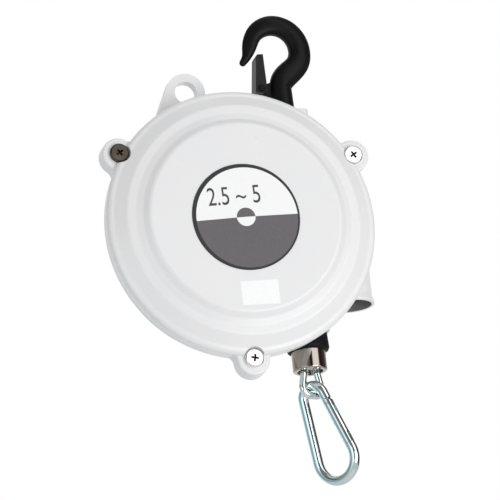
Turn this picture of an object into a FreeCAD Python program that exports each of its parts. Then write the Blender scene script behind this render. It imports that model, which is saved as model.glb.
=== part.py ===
import FreeCAD, Part

import math
import os

# Spring balancer for hanging a hand tool: a tapered rope drum and a flat
# mainspring in a two-part cast case, a swivelling safety hook above and a
# swivel, bail and snap hook on the rope below.
#
# Working frame: the drum turns about Y, Z is up and the dial faces -Y. The
# rope hangs in the plane y = 0. Every piece is moved once, at export, so that
# the origin of the finished part is the seat inside the top hook.

V = FreeCAD.Vector
Y_AXIS = V(0, 1, 0)
Z_AXIS = V(0, 0, 1)

# clearances
running = 0.05            # shaft in hole, on the radius
gap = 0.3                 # between pieces that move past each other
screw_play = 0.05
head_play = 0.6           # pocket round a screw head

# load line and rope
load_x = 36.4             # rope and hook stem, from the drum axis
rope_r = 1.5
rope_stroke = 1300.0

# front cover, from the dial face backwards
dial_y = -36.0
cover_wall = 3.0
cover_r = 74.8            # outside of the rim
face_steps = (            # how far out and how far back each part of the face runs
    (3.2, 2.7),           # step beside the flat middle
    (3.5, 1.5),           # cove
    (4.7, 0.6),           # crest ring
    (6.6, 4.6),           # slope
    (2.2, 0.5),           # rim
    (1.4, 2.4),           # outer edge
)
face_round = 3.0
skirt_draft = 1.2         # the rim wall draws in towards the split
split_y = -15.5           # where cover and housing meet

# rear housing
waist_r = 63.0
waist_y = 14.0
shoulder_y = 34.0
back_y = 42.0
housing_wall = 3.0
case_room = 3.0           # between the spring case and the housing wall at its shoulder
back_draw = 8.0           # how far the wall draws in from the shoulder to the back

# three cover screws
screw_out = 1.3           # screw centres outside the rim
screw_angles = (28.9, 146.6, 269.8)
ear_r = 9.0
ear_flank = 6.0           # hollow between ear and rim
ear_round = 1.2
ear_wall = 1.5
ear_front_y = -22.6
ear_back_y = -11.6
screw_r = 2.4
screw_head_r = 5.2
screw_head_h = 2.6
screw_end_y = -12.4
cross_len = 5.4
cross_wide = 1.1
cross_deep = 1.5

# dial plate
dial_r = 30.0
dial_thick = 0.4

# safety eye on the housing, for the fall-arrest wire
eye_x = -18.3
eye_z = 80.4
eye_hole_r = 6.2
eye_r = 10.8
eye_front_y = -6.0
eye_thick = 6.5
eye_root_left = (-40.0, 58.0)
eye_root_right = (-6.5, 62.0)

# hook boss on top of the housing
boss_half = 12.0
boss_top_z = 68.0
boss_seat_z = 60.0
boss_root_z = 50.0
boss_front_y = -11.6
boss_back_y = 12.0
boss_round = 5.0
pocket_r = 9.4
stem_r = 5.0
bush_wall = 1.5
washer_r = 8.0
washer_h = 1.6
nut_af = 13.0
nut_h = 7.4
split_pin_r = 1.0
split_pin_rise = 3.0      # above the end of the stem

# forged hook, measured from the centre of its bowl
bowl_r = 8.9
bowl_offset = 2.2         # bowl centre to the tip side of the stem
bowl_z = 104.4
hook_thick_neck = 13.6
hook_thick_back = 12.0
hook_thick_top = 11.1
hook_thick_nose = 7.7
hook_thick_tip = 3.9
hook_slim = 0.6           # how much narrower than thick the section is
tip_x = -17.3
tip_z = -6.3
collar_top_r = 6.0
collar_bottom_r = 6.5
collar_top_z = 83.6

# safety latch
latch_x = -11.5           # pivot, from the stem
latch_z = 82.0
latch_pin_r = 1.25
latch_eye_r = 2.9
latch_sheet = 1.2
latch_half = 5.0          # half of the outside width
lug_half = 1.7
lug_r = 2.2
latch_top_z = 101.3
latch_spine = 3.8         # from the pivot to the back of the spine, at its foot
latch_wire_r = 0.4
latch_coil_r = 1.7

# rope outlet under the housing
outlet_z = -57.0
outlet_half = 11.4
outlet_front_y = -11.6
outlet_back_y = 12.0
outlet_root_z = -42.0
guide_r = 5.5
guide_flange_r = 7.5
guide_flange_h = 1.5
guide_floor = 3.5
guide_bore_r = 2.2
guide_mouth_r = 4.4
guide_h = 7.5

# main shaft along Y
shaft_r = 6.0
shaft_nut_af = 16.0
shaft_nut_h = 5.0
shaft_thread_r = 5.0
shaft_washer_h = 1.2
shaft_seat_r = 12.0
cover_boss_r = 11.0
circlip_r = 8.2
circlip_h = 1.0
circlip_groove = 0.7
bearing_wall = 1.5

# rope drum
drum_taper = 5.5          # rope radius at the big end over that at the small end
drum_flange = 3.5         # rims outside the rope centre
groove_play = 0.1
groove_cover = 0.6        # the grooves' crests lie this far inside the rope centre
drum_holes = 5            # lightening holes in the web
drum_hole_r = 7.0
drum_web = 3.0
drum_wall = 4.0
turn_pitch = 3.6
hub_r = 11.0
drum_bush_len = 12.0

# spring case with the worm wheel round its rim
lid_thick = 1.8
wheel_width = 7.0
wheel_teeth = 57
tooth_module = 2.0
wheel_play = 0.62
case_r = 49.0
case_wall = 3.0
case_back_y = 35.6
lid_screws = 4
lid_screw_r = 1.25
lid_head_r = 2.35
lid_head_h = 1.1

# flat spiral mainspring
strip_thick = 0.9
strip_turns = 12

# adjusting worm, upright beside the wheel
worm_pitch_r = 8.0
worm_len = 22.0
worm_play = 0.62
worm_neck_r = 4.0
worm_key_af = 10.0
worm_key_h = 7.0
tunnel_wall = 1.9
tunnel_top_z = 18.0
tunnel_roof = 4.0
worm_bush_z = -23.0
worm_bush_h = 4.2
port_z = -38.9
lip_r = 13.2
lip_h = 4.5
lip_bore_r = 11.6

# bumper, swivel and bail on the rope end
bumper_r = 11.7
bumper_bottom_z = -67.0
bumper_round = 2.0
bumper_draft = 0.5
swivel_r = 9.4
swivel_bottom_z = -77.8
swivel_round = 1.0
swivel_top_wall = 2.5
swivel_bore_r = 7.9
swivel_lip_h = 1.6
swivel_mouth_r = 7.1
ferrule_r = 3.2
ferrule_h = 3.6
spindle_h = 3.0
bail_wire_r = 2.0
bail_leg = 4.5            # half spacing of the legs in the spindle
bail_half = 7.6
bail_corner = 4.5
bail_bottom_z = -91.4     # centre of the wire
bail_turn = 25.0          # how far the bail is turned about the rope

# snap hook
snap_wire_r = 2.8
snap_len = 60.0
snap_width = 30.0
snap_small_r = 7.0        # centre line of the narrow end
snap_turn = -53.0         # about the rope
snap_tilt = 9.5           # in its own plane
snap_lean = 11.0          # of its plane, wide end away from the dial side
hang_play = 0.5           # between the bail and the top of the narrow end
gate_hinge_at = 0.22      # along the straight side, from the narrow end
gate_nose_at = 0.94
tongue_half = 1.1
tongue_len = 5.0
gate_pin_r = 0.9

# values that follow from the ones above
shoulder_r = case_r + case_room + housing_wall
back_r = shoulder_r - back_draw
face_r = cover_r - sum(out for out, back in face_steps)
crest_r = face_r + face_steps[0][0] + face_steps[1][0] + face_steps[2][0]
crest_y = dial_y + face_steps[0][1] + face_steps[1][1] + face_steps[2][1]
edge_y = dial_y + sum(back for out, back in face_steps)
skirt_r = cover_r - skirt_draft
screw_circle_r = cover_r + screw_out
drum_small_r = load_x
drum_big_r = drum_small_r + drum_taper
turn_count = math.ceil(rope_stroke / (math.pi * (drum_small_r + drum_big_r))) + 1
groove_r = rope_r + groove_play
last_turn_y = -turn_pitch * (turn_count - 1)
drum_front_y = last_turn_y - groove_r - 3.6
drum_back_y = groove_r + 1.5
module_pitch = math.pi * tooth_module
wheel_pitch_r = wheel_teeth * tooth_module / 2.0
case_front_y = drum_back_y + gap
wheel_front_y = case_front_y + lid_thick
wheel_mid_y = wheel_front_y + wheel_width / 2.0
hub_back_y = case_back_y - case_wall - 0.8
lid_r = case_r + 1.5
lid_circle_r = case_r - case_wall / 2.0
worm_x = wheel_pitch_r + worm_pitch_r
tunnel_bore_r = worm_pitch_r + tooth_module + 0.4
tunnel_r = tunnel_bore_r + tunnel_wall
shaft_front_y = dial_y + cover_wall + 1.0
cover_boss_y = drum_front_y - gap - circlip_h - 0.5
shaft_end_y = back_y + shaft_washer_h + shaft_nut_h + gap
nut_top_z = boss_seat_z - washer_h - running * 2
stem_end_z = nut_top_z - nut_h + 0.7
split_pin_z = stem_end_z + split_pin_rise
latch_pivot_x = load_x + latch_x
bowl_x = load_x - bowl_offset
guide_top_z = outlet_z + guide_h
snap_big_r = snap_width / 2.0 - snap_wire_r
snap_drop = snap_len - snap_width / 2.0 - snap_small_r - snap_wire_r
seat = V(bowl_x, 0, bowl_z + bowl_r)


def cylinder(radius, start, end):
    axis = end - start
    return Part.makeCylinder(radius, axis.Length, start, axis)


def cone(radius_start, radius_end, start, end):
    axis = end - start
    return Part.makeCone(radius_start, radius_end, axis.Length, start, axis)


def along_y(radius, low, high, x=0.0, z=0.0):
    return cylinder(radius, V(x, low, z), V(x, high, z))


def along_z(radius, low, high, x=load_x, y=0.0):
    return cylinder(radius, V(x, y, low), V(x, y, high))


def tube_y(outer, inner, low, high):
    return along_y(outer, low, high).cut(along_y(inner, low - 1, high + 1))


def tube_z(outer, inner, low, high, x=load_x, y=0.0):
    return along_z(outer, low, high, x, y).cut(along_z(inner, low - 1, high + 1, x, y))


def block(low, high):
    size = V(*high) - V(*low)
    return Part.makeBox(size.x, size.y, size.z, V(*low))


def hex_prism(across_flats, start, end, turn=0.0):
    radius = across_flats / math.sqrt(3.0)
    axis = end - start
    corners = []
    for k in range(7):
        angle = math.radians(60.0 * k + turn)
        corners.append(V(radius * math.cos(angle), radius * math.sin(angle), 0))
    face = Part.Face(Part.makePolygon(corners))
    face.Placement = FreeCAD.Placement(start, FreeCAD.Rotation(Z_AXIS, axis))
    return face.extrude(axis)


def spun_about_y(points):
    """Solid of revolution about Y from (radius, y) points."""
    outline = [V(radius, y, 0) for radius, y in points]
    face = Part.Face(Part.makePolygon(outline + [outline[0]]))
    return face.revolve(V(0, 0, 0), Y_AXIS, 360)


def spun_about_z(points, x=load_x, y=0.0):
    """Solid of revolution about a line along Z from (radius, z) points."""
    outline = [V(x + radius, y, z) for radius, z in points]
    face = Part.Face(Part.makePolygon(outline + [outline[0]]))
    return face.revolve(V(x, y, 0), Z_AXIS, 360)


def ring_y(radius, section_r, y):
    """Ring about the drum's axis with an eight-sided section."""
    corners = []
    for k in range(9):
        angle = math.radians(45.0 * k + 22.5)
        corners.append(V(radius + section_r * math.cos(angle), y + section_r * math.sin(angle), 0))
    return Part.Face(Part.makePolygon(corners)).revolve(V(0, y, 0), Y_AXIS, 360)


def flat_shape(points, low, high):
    """Plate in the XZ plane from (x, z) points, between two depths."""
    outline = [V(x, low, z) for x, z in points]
    face = Part.Face(Part.makePolygon(outline + [outline[0]]))
    return face.extrude(V(0, high - low, 0))


def rounded_path(points, radius):
    """Straight runs joined by tangent arcs of one radius."""
    edges = []
    start = points[0]
    for before, corner, after in zip(points, points[1:], points[2:]):
        inward = (before - corner).normalize()
        outward = (after - corner).normalize()
        half_turn = (math.pi - inward.getAngle(outward)) / 2.0
        reach = radius * math.tan(half_turn)
        first = corner + inward * reach
        last = corner + outward * reach
        middle = (inward + outward).normalize()
        dip = radius / math.cos(half_turn) - radius
        edges.append(Part.LineSegment(start, first).toShape())
        edges.append(Part.Arc(first, corner + middle * dip, last).toShape())
        start = last
    edges.append(Part.LineSegment(start, points[-1]).toShape())
    return Part.Wire(edges)


def wire_along(path, radius):
    """Round wire of one radius along a path."""
    first = path.OrderedEdges[0]
    start = path.OrderedVertexes[0].Point
    direction = first.tangentAt(first.FirstParameter)
    if first.valueAt(first.FirstParameter).distanceToPoint(start) > 1e-6:
        direction = first.tangentAt(first.LastParameter) * -1
    ring = Part.Wire(Part.Circle(start, direction, radius).toShape())
    return path.makePipeShell([ring], True, True)


def screw_places():
    for angle in screw_angles:
        yield (
            screw_circle_r * math.cos(math.radians(angle)),
            screw_circle_r * math.sin(math.radians(angle)),
        )


def cover_blank():
    """Outside of the cover: a flat middle, then steps down to the rim."""
    corners = [V(0, dial_y, 0), V(face_r, dial_y, 0)]
    for out, back in face_steps:
        corners.append(corners[-1] + V(out, back, 0))
    corners.append(V(skirt_r, split_y, 0))
    path = rounded_path(corners, face_round)
    floor = Part.makePolygon([corners[-1], V(0, split_y, 0), corners[0]])
    face = Part.Face(Part.Wire(path.OrderedEdges + floor.OrderedEdges))
    return face.revolve(V(0, 0, 0), Y_AXIS, 360)


def cover_hollow():
    return spun_about_y([
        (0.0, dial_y + cover_wall), (face_r - cover_wall * 0.5, dial_y + cover_wall),
        (crest_r - cover_wall, crest_y + cover_wall), (cover_r - cover_wall, edge_y + cover_wall),
        (skirt_r - cover_wall, split_y), (0.0, split_y),
    ])


def ear_blank(x, z, low, high, rounded_y):
    """Ear round a screw; its hollow flanks run into the rim wall."""
    screw = V(x, 0, z)
    out = V(screw).normalize()
    side = out.cross(Y_AXIS)
    rim = skirt_r - 1.0
    reach = rim + ear_flank
    spread = math.acos((screw_circle_r ** 2 + reach ** 2 - (ear_r + ear_flank) ** 2)
                       / (2 * screw_circle_r * reach))
    flanks = []
    for turn in (spread, -spread):
        centre = (out * math.cos(turn) + side * math.sin(turn)) * reach
        foot = centre * (rim / reach)
        tip = screw + (centre - screw) * (ear_r / (ear_r + ear_flank))
        middle = centre + ((foot + tip) * 0.5 - centre).normalize() * ear_flank
        flanks.append((foot, middle, tip))
    (foot, middle, tip), (last_foot, last_middle, last_tip) = flanks
    edges = [
        Part.Arc(foot, middle, tip).toShape(),
        Part.Arc(tip, screw + out * ear_r, last_tip).toShape(),
        Part.Arc(last_tip, last_middle, last_foot).toShape(),
    ]
    root = Part.makePolygon([last_foot, last_foot * 0.9, foot * 0.9, foot])
    face = Part.Face(Part.Wire(edges + root.OrderedEdges))
    face.translate(V(0, low, 0))
    body = face.extrude(V(0, high - low, 0))
    front = []
    for edge in body.Edges:
        if isinstance(edge.Curve, Part.Circle) and abs(edge.CenterOfMass.y - rounded_y) < 1e-6:
            front.append(edge)
    return body.makeFillet(ear_round, front)


def make_front_cover():
    body = cover_blank()
    hollow = cover_hollow()
    for x, z in screw_places():
        body = body.fuse(ear_blank(x, z, ear_front_y, split_y, ear_front_y))
        hollow = hollow.cut(along_y(ear_r - ear_wall, dial_y, split_y, x, z))
    body = body.cut(hollow)
    body = body.fuse(along_y(cover_boss_r, dial_y + cover_wall - 0.5, cover_boss_y))
    body = body.cut(along_y(shaft_r, shaft_front_y, 0))
    for x, z in screw_places():
        body = body.cut(along_y(screw_r + screw_play, dial_y, split_y + 1, x, z))
        body = body.cut(along_y(screw_head_r + head_play, dial_y, ear_front_y, x, z))
    return body


def housing_outline(inset):
    return [
        (0.0, split_y),
        (skirt_r - inset, split_y),
        (skirt_r - inset * 0.9, split_y + 2.0),
        (waist_r - inset, waist_y),
        (shoulder_r - inset, shoulder_y - inset * 0.4),
        (back_r - inset * 0.5, back_y - inset),
        (0.0, back_y - inset),
    ]


def eye_blank():
    """Teardrop ear that runs down into the housing wall."""
    low = eye_front_y
    high = eye_front_y + eye_thick
    rim = along_y(eye_r, low, high, eye_x, eye_z)
    lean = math.radians(158.0)
    steep = math.radians(8.0)
    web = flat_shape([
        (eye_x + eye_r * math.cos(lean), eye_z + eye_r * math.sin(lean)),
        (eye_x + eye_r * math.cos(steep), eye_z + eye_r * math.sin(steep)),
        eye_root_right,
        eye_root_left,
    ], low, high)
    return rim.fuse(web)


def rounded_block(low, high, radius):
    """Block with its upright edges rounded."""
    body = block(low, high)
    upright = [edge for edge in body.Edges if abs(edge.tangentAt(edge.FirstParameter).z) > 0.9]
    return body.makeFillet(radius, upright)


def make_rear_housing():
    body = spun_about_y(housing_outline(0.0))
    for x, z in screw_places():
        body = body.fuse(ear_blank(x, z, split_y, ear_back_y, ear_back_y))
    body = body.fuse(rounded_block(
        (load_x - boss_half, boss_front_y, boss_root_z),
        (load_x + boss_half, boss_back_y, boss_top_z), boss_round))
    body = body.fuse(rounded_block(
        (load_x - outlet_half, outlet_front_y, outlet_z),
        (load_x + outlet_half, outlet_back_y, outlet_root_z), boss_round))
    body = body.fuse(along_z(tunnel_r, port_z + lip_h, tunnel_top_z, worm_x, wheel_mid_y))
    body = body.fuse(cone(lip_r, tunnel_r, V(worm_x, wheel_mid_y, port_z + 1.2),
                          V(worm_x, wheel_mid_y, port_z + lip_h)))
    body = body.fuse(along_z(lip_r, port_z, port_z + 1.2, worm_x, wheel_mid_y))
    hollow = spun_about_y(housing_outline(housing_wall))
    body = body.cut(hollow)
    body = body.fuse(eye_blank().cut(hollow))
    body = body.cut(along_y(eye_hole_r, -20, 20, eye_x, eye_z))
    return cut_housing_holes(body)


def cut_housing_holes(body):
    """Bores for the hook, rope, worm, shaft and screws."""
    body = body.cut(along_z(pocket_r, 40, boss_seat_z))
    body = body.cut(along_z(stem_r + running + bush_wall, 40, boss_top_z + 1))
    body = body.cut(along_z(bumper_r + 1.0, outlet_z - 20, outlet_z))
    body = body.cut(along_z(guide_r, outlet_z - 1, guide_top_z))
    body = body.cut(along_z(guide_flange_r + gap, outlet_z + guide_floor, outlet_root_z + 8))
    bore_top = tunnel_top_z - tunnel_roof
    body = body.cut(along_z(tunnel_bore_r, port_z - 1, bore_top, worm_x, wheel_mid_y))
    body = body.cut(along_z(worm_neck_r + running, 0, bore_top + tunnel_roof - 1.5,
                            worm_x, wheel_mid_y))
    body = body.cut(cone(lip_bore_r, tunnel_bore_r, V(worm_x, wheel_mid_y, port_z - 0.01),
                         V(worm_x, wheel_mid_y, port_z + lip_h)))
    body = body.fuse(along_y(shaft_seat_r, case_back_y + gap + circlip_h + 0.6,
                             back_y - housing_wall + 0.5))
    body = body.cut(along_y(shaft_r, 0, back_y + 1))
    for x, z in screw_places():
        body = body.cut(along_y(screw_r + screw_play, split_y - 1, ear_back_y + 1, x, z))
    return body


def make_dial_plate():
    return along_y(dial_r, dial_y - dial_thick, dial_y)


def cover_screw(x, z):
    """Pan head screw with a cross recess."""
    head = along_y(screw_head_r, ear_front_y - screw_head_h, ear_front_y, x, z)
    rim = [edge for edge in head.Edges if abs(edge.CenterOfMass.y - (ear_front_y - screw_head_h)) < 1e-6]
    head = head.makeFillet(screw_head_h * 0.7, rim)
    half = cross_len / 2.0
    thin = cross_wide / 2.0
    top = ear_front_y - screw_head_h
    cross = block((x - half, top - 1, z - thin), (x + half, top + cross_deep, z + thin))
    cross = cross.fuse(block((x - thin, top - 1, z - half), (x + thin, top + cross_deep, z + half)))
    shank = along_y(screw_r, ear_front_y, screw_end_y, x, z)
    return head.cut(cross).fuse(shank)


def make_main_shaft():
    body = along_y(shaft_r, shaft_front_y, back_y)
    body = body.fuse(along_y(shaft_thread_r, back_y, shaft_end_y))
    for low in circlip_places():
        groove = tube_y(shaft_r + 1, shaft_r - circlip_groove, low, low + circlip_h)
        body = body.cut(groove)
    return body


def circlip_places():
    return (drum_front_y - gap - circlip_h, case_back_y + gap)


def make_circlips():
    clips = []
    for low in circlip_places():
        ring = tube_y(circlip_r, shaft_r - circlip_groove, low, low + circlip_h)
        slot = block((-1.6, low - 1, -circlip_r - 1), (1.6, low + circlip_h + 1, 0))
        clips.append(ring.cut(slot))
    return Part.Compound(clips)


def make_shaft_nut():
    low = back_y + shaft_washer_h
    nut = hex_prism(shaft_nut_af, V(0, low, 0), V(0, low + shaft_nut_h, 0))
    return nut.cut(along_y(shaft_thread_r, back_y, shaft_end_y + 1))


def make_shaft_washer():
    return tube_y(shaft_nut_af * 0.62, shaft_thread_r, back_y, back_y + shaft_washer_h)


def hook_sections():
    """Sections of the forging as (centre, direction, thickness, share of the forged form)."""
    rise = collar_top_z - bowl_z
    stations = [
        (V(bowl_offset, 0, rise - 0.5), V(0, 0, 1), collar_top_r * 2 - 0.4, 0.0),
        (V(bowl_offset + 1.0, 0, rise + 2.6), V(0.55, 0, 1), hook_thick_neck - 0.8, 0.4),
        (V(bowl_offset + 4.6, 0, rise + 7.0), V(0.9, 0, 0.9), hook_thick_neck, 0.8),
    ]
    for angle in (-26.0, 8.0, 50.0, 92.0, 134.0, 166.0):
        share = angle / 90.0
        if angle < 0:
            thick = hook_thick_back + 0.7
        elif angle < 92.0:
            thick = hook_thick_back + (hook_thick_top - hook_thick_back) * share
        else:
            thick = hook_thick_top + (hook_thick_nose - hook_thick_top) * (share - 1.0)
        turn = math.radians(angle)
        reach = bowl_r + thick / 2.0
        centre = V(reach * math.cos(turn), 0, reach * math.sin(turn))
        stations.append((centre, V(-math.sin(turn), 0, math.cos(turn)), thick, 1.0))
    waist = (hook_thick_nose + hook_thick_tip) / 2.0
    stations.append((V(tip_x + 2.9, 0, tip_z + 4.3), V(-0.33, 0, -1), waist, 0.7))
    stations.append((V(tip_x, 0, tip_z), V(-0.5, 0, -1), hook_thick_tip, 0.0))
    return stations


def forged_section(centre, direction, thick, share):
    """Rounded section, widest towards the inside of the bowl as its share grows."""
    inward = V(direction).cross(Y_AXIS).normalize() * thick
    sideways = Y_AXIS * thick
    corners = []
    for k in range(8):
        turn = math.radians(45.0 * k)
        narrow = 1.0 - share * (1.0 - hook_slim) * (0.55 - 0.45 * math.cos(turn))
        corners.append(centre + inward * (math.cos(turn) / 2.0) + sideways * (math.sin(turn) / 2.0 * narrow))
    curve = Part.BSplineCurve()
    curve.interpolate(Points=corners, PeriodicFlag=True)
    return Part.Wire(curve.toShape())


def make_hook():
    bowl = V(bowl_x, 0, bowl_z)
    wires = []
    for centre, direction, thick, share in hook_sections():
        wires.append(forged_section(bowl + centre, direction, thick, share))
    body = Part.makeLoft(wires, True, False)
    body = body.fuse(Part.makeSphere(hook_thick_tip * 0.495, bowl + V(tip_x, 0, tip_z)))
    body = body.fuse(spun_about_z([
        (0, stem_end_z), (stem_r - 0.6, stem_end_z), (stem_r, stem_end_z + 0.6),
        (stem_r, boss_top_z + gap), (collar_bottom_r, boss_top_z + gap),
        (collar_bottom_r, boss_top_z + gap + 1), (collar_top_r, collar_top_z),
        (0, collar_top_z)]))
    body = body.fuse(hook_lug())
    body = body.cut(along_y(latch_pin_r, -lug_half - 1, lug_half + 1, latch_pivot_x, latch_z))
    return body.cut(along_y(split_pin_r, -nut_af, nut_af, load_x, split_pin_z))


def hook_lug():
    """Flat ear on the neck that carries the latch."""
    x = latch_pivot_x
    eye = along_y(lug_r, -lug_half, lug_half, x, latch_z)
    web = flat_shape([
        (x - lug_r * 0.4, latch_z + lug_r * 0.9), (load_x - 1, latch_z + 5.5),
        (load_x - 1, latch_z - 7.5), (x - lug_r * 0.4, latch_z - lug_r * 0.9),
    ], -lug_half, lug_half)
    return eye.fuse(web)


def latch_side(low, high, inset):
    """Cheek of the latch; the spine side is set in by one sheet."""
    x = latch_pivot_x
    plate = flat_shape([
        (x - latch_spine + inset, latch_z - 2.2 - inset * 6), (x - 1.6 + inset, latch_top_z - 1.4),
        (x - 0.8 + inset, latch_top_z + inset), (x + 2.4 + inset * 8, latch_top_z + inset),
        (x + latch_eye_r + inset * 8, latch_z + 0.4 - inset * 8), (x, latch_z - latch_eye_r - inset * 6),
    ], low, high)
    return plate


def make_latch():
    """Pressed channel: two cheeks and a spine on the mouth side."""
    x = latch_pivot_x
    body = latch_side(-latch_half, latch_half, 0.0)
    body = body.fuse(along_y(latch_eye_r, -latch_half, latch_half, x, latch_z))
    inner = latch_half - latch_sheet
    body = body.cut(latch_side(-inner, inner, latch_sheet))
    body = body.cut(along_y(latch_eye_r + gap, -inner, inner, x, latch_z))
    return body.cut(along_y(latch_pin_r + running, -9, 9, x, latch_z))


def make_latch_pin():
    x = latch_pivot_x
    body = along_y(latch_pin_r, -latch_half - 0.3, latch_half + 0.3, x, latch_z)
    for side in (-1, 1):
        start = side * (latch_half + gap * 0.5)
        end = side * (latch_half + 1.2)
        body = body.fuse(cone(2.1, 1.6, V(x, start, latch_z), V(x, end, latch_z)))
    return body


def make_latch_spring():
    """Torsion spring with a two-turn coil on each side of the lug."""
    x = latch_pivot_x
    near = lug_half + 0.55
    far = near + latch_wire_r * 2.2
    foot_x = x - latch_coil_r
    head = V(foot_x + 1.4, 0, latch_z + 8)
    body = cylinder(latch_wire_r, head - Y_AXIS * near, head + Y_AXIS * near)
    for side in (-1, 1):
        for y in (near, far):
            body = body.fuse(Part.makeTorus(latch_coil_r, latch_wire_r, V(x, side * y, latch_z), Y_AXIS))
        body = body.fuse(cylinder(latch_wire_r, V(foot_x, side * near, latch_z), head + Y_AXIS * (side * near)))
        heel = V(x + latch_coil_r, side * near, latch_z)
        body = body.fuse(cylinder(latch_wire_r, heel, heel - Z_AXIS * 2.2))
        low = latch_z - latch_coil_r
        body = body.fuse(cylinder(latch_wire_r * 0.9, V(x, side * near, low), V(x, side * far, low)))
    return body


def make_hook_bush():
    outer = stem_r + running + bush_wall
    return tube_z(outer, stem_r + running, boss_seat_z, boss_top_z)


def make_hook_washer():
    top = boss_seat_z - running
    return tube_z(washer_r, stem_r + running, top - washer_h, top)


def make_hook_nut():
    nut = hex_prism(nut_af, V(load_x, 0, nut_top_z - nut_h), V(load_x, 0, nut_top_z))
    nut = nut.cut(along_z(stem_r, nut_top_z - nut_h - 1, nut_top_z + 1))
    return nut.cut(along_y(split_pin_r, -nut_af, nut_af, load_x, split_pin_z))


def make_split_pin():
    """Pin through nut and stem, with its eye against the flat of the nut."""
    eye_r = split_pin_r * 1.2
    eye_y = -nut_af / 2.0 - eye_r - running
    body = along_y(split_pin_r, eye_y, nut_af / 2.0 + 0.9, load_x, split_pin_z)
    return body.fuse(Part.makeSphere(eye_r, V(load_x, eye_y, split_pin_z)))


def make_rope_guide():
    """Flanged plastic bush that lets the rope leave at a slant."""
    middle = (outlet_z + guide_top_z) / 2.0
    floor = outlet_z + guide_floor
    return spun_about_z([
        (guide_mouth_r, outlet_z), (guide_r, outlet_z), (guide_r, floor), (guide_flange_r, floor),
        (guide_flange_r, floor + guide_flange_h), (guide_r, guide_top_z),
        (guide_mouth_r, guide_top_z), (guide_bore_r, middle + 2), (guide_bore_r, middle - 2),
    ])


def groove_places():
    """Depth and rope radius of each turn on the tapered drum."""
    for turn in range(turn_count):
        share = turn / (turn_count - 1)
        yield -turn * turn_pitch, drum_small_r + (drum_big_r - drum_small_r) * share


def make_drum():
    """Tapered drum: grooved shell, web, and a hub that reaches into the spring case."""
    small = drum_small_r - groove_cover
    big = drum_big_r - groove_cover
    shell = spun_about_y([
        (small - drum_wall, drum_back_y), (small + drum_flange + groove_cover, drum_back_y),
        (small + drum_flange + groove_cover, groove_r), (small, groove_r), (small, 0.0), (big, last_turn_y),
        (big + drum_flange + groove_cover, last_turn_y - groove_r),
        (big + drum_flange + groove_cover, drum_front_y), (big - drum_wall, drum_front_y),
    ])
    web = along_y(big - drum_wall + 0.5, drum_front_y, drum_front_y + drum_web)
    hub = along_y(hub_r, drum_front_y, hub_back_y)
    body = shell.fuse(web).fuse(hub)
    for y, radius in groove_places():
        body = body.cut(ring_y(radius, groove_r / math.cos(math.radians(22.5)), y))
    body = body.cut(along_y(shaft_r + bearing_wall + running, drum_front_y - 1, hub_back_y + 1))
    hole_circle_r = (hub_r + big - drum_wall) / 2.0
    for k in range(drum_holes):
        angle = 2 * math.pi / drum_holes * k
        body = body.cut(along_y(drum_hole_r, drum_front_y - 1, drum_front_y + drum_web + 1,
                                hole_circle_r * math.cos(angle), hole_circle_r * math.sin(angle)))
    return body


def make_drum_bushes():
    inner = shaft_r + running
    outer = inner + bearing_wall
    front = tube_y(outer, inner, drum_front_y, drum_front_y + drum_bush_len)
    back = tube_y(outer, inner, hub_back_y - drum_bush_len, hub_back_y)
    return Part.Compound([front, back])


def make_rope_winding():
    """Rope lying in the grooves of the drum."""
    turns = []
    for y, radius in groove_places():
        turns.append(ring_y(radius, rope_r, y))
    return Part.Compound(turns[1:])


def wheel_wire(y, twist):
    """Outline of the worm wheel at one depth."""
    outer = wheel_pitch_r + tooth_module
    root = wheel_pitch_r - tooth_module * 1.15
    pitch_angle = 2 * math.pi / wheel_teeth
    half_mid = (module_pitch / 2.0 - wheel_play) / 2.0
    slope = math.tan(math.radians(20.0))
    half_top = half_mid - slope * tooth_module
    half_root = half_mid + slope * tooth_module * 1.15
    corners = []
    for k in range(wheel_teeth):
        middle = (k + 0.5) * pitch_angle + twist
        for radius, side in ((root, -half_root), (outer, -half_top), (outer, half_top), (root, half_root)):
            angle = middle + side / radius
            corners.append(V(radius * math.cos(angle), y, -radius * math.sin(angle)))
    return Part.makePolygon(corners + [corners[0]])


def lid_screw_places():
    for k in range(lid_screws):
        angle = 2 * math.pi * (k + 0.5) / lid_screws
        yield lid_circle_r * math.cos(angle), lid_circle_r * math.sin(angle)


def make_spring_case():
    """Cup for the mainspring with a worm wheel cast round its mouth."""
    lead = tooth_module / 2.0 / worm_pitch_r
    twist = wheel_width / 2.0 * lead / wheel_pitch_r
    wheel = Part.makeLoft([
        wheel_wire(wheel_front_y, -twist), wheel_wire(wheel_front_y + wheel_width, twist)], True, True)
    body = wheel.fuse(along_y(case_r, wheel_front_y, case_back_y))
    body = body.cut(along_y(case_r - case_wall, wheel_front_y - 1, case_back_y - case_wall))
    body = body.fuse(along_y(hub_r + 3, case_back_y - case_wall, case_back_y))
    for x, z in lid_screw_places():
        body = body.cut(along_y(lid_screw_r, case_front_y, case_front_y + 8, x, z))
    return body.cut(along_y(shaft_r + bearing_wall + running, case_front_y, case_back_y + 1))


def make_case_bush():
    return tube_y(shaft_r + bearing_wall + running, shaft_r + running,
                  hub_back_y + 0.6, case_back_y)


def make_case_lid():
    body = tube_y(lid_r, hub_r + gap + 0.4, case_front_y, wheel_front_y)
    for x, z in lid_screw_places():
        body = body.cut(along_y(lid_screw_r, case_front_y, wheel_front_y + 1, x, z))
        body = body.cut(lid_screw_head(x, z))
    return body


def lid_screw_head(x, z):
    return cone(lid_head_r, lid_screw_r, V(x, case_front_y, z), V(x, case_front_y + lid_head_h, z))


def make_lid_screws():
    screws = []
    for x, z in lid_screw_places():
        shank = along_y(lid_screw_r, case_front_y + lid_head_h, case_front_y + 7, x, z)
        screws.append(lid_screw_head(x, z).fuse(shank))
    return Part.Compound(screws)


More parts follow.
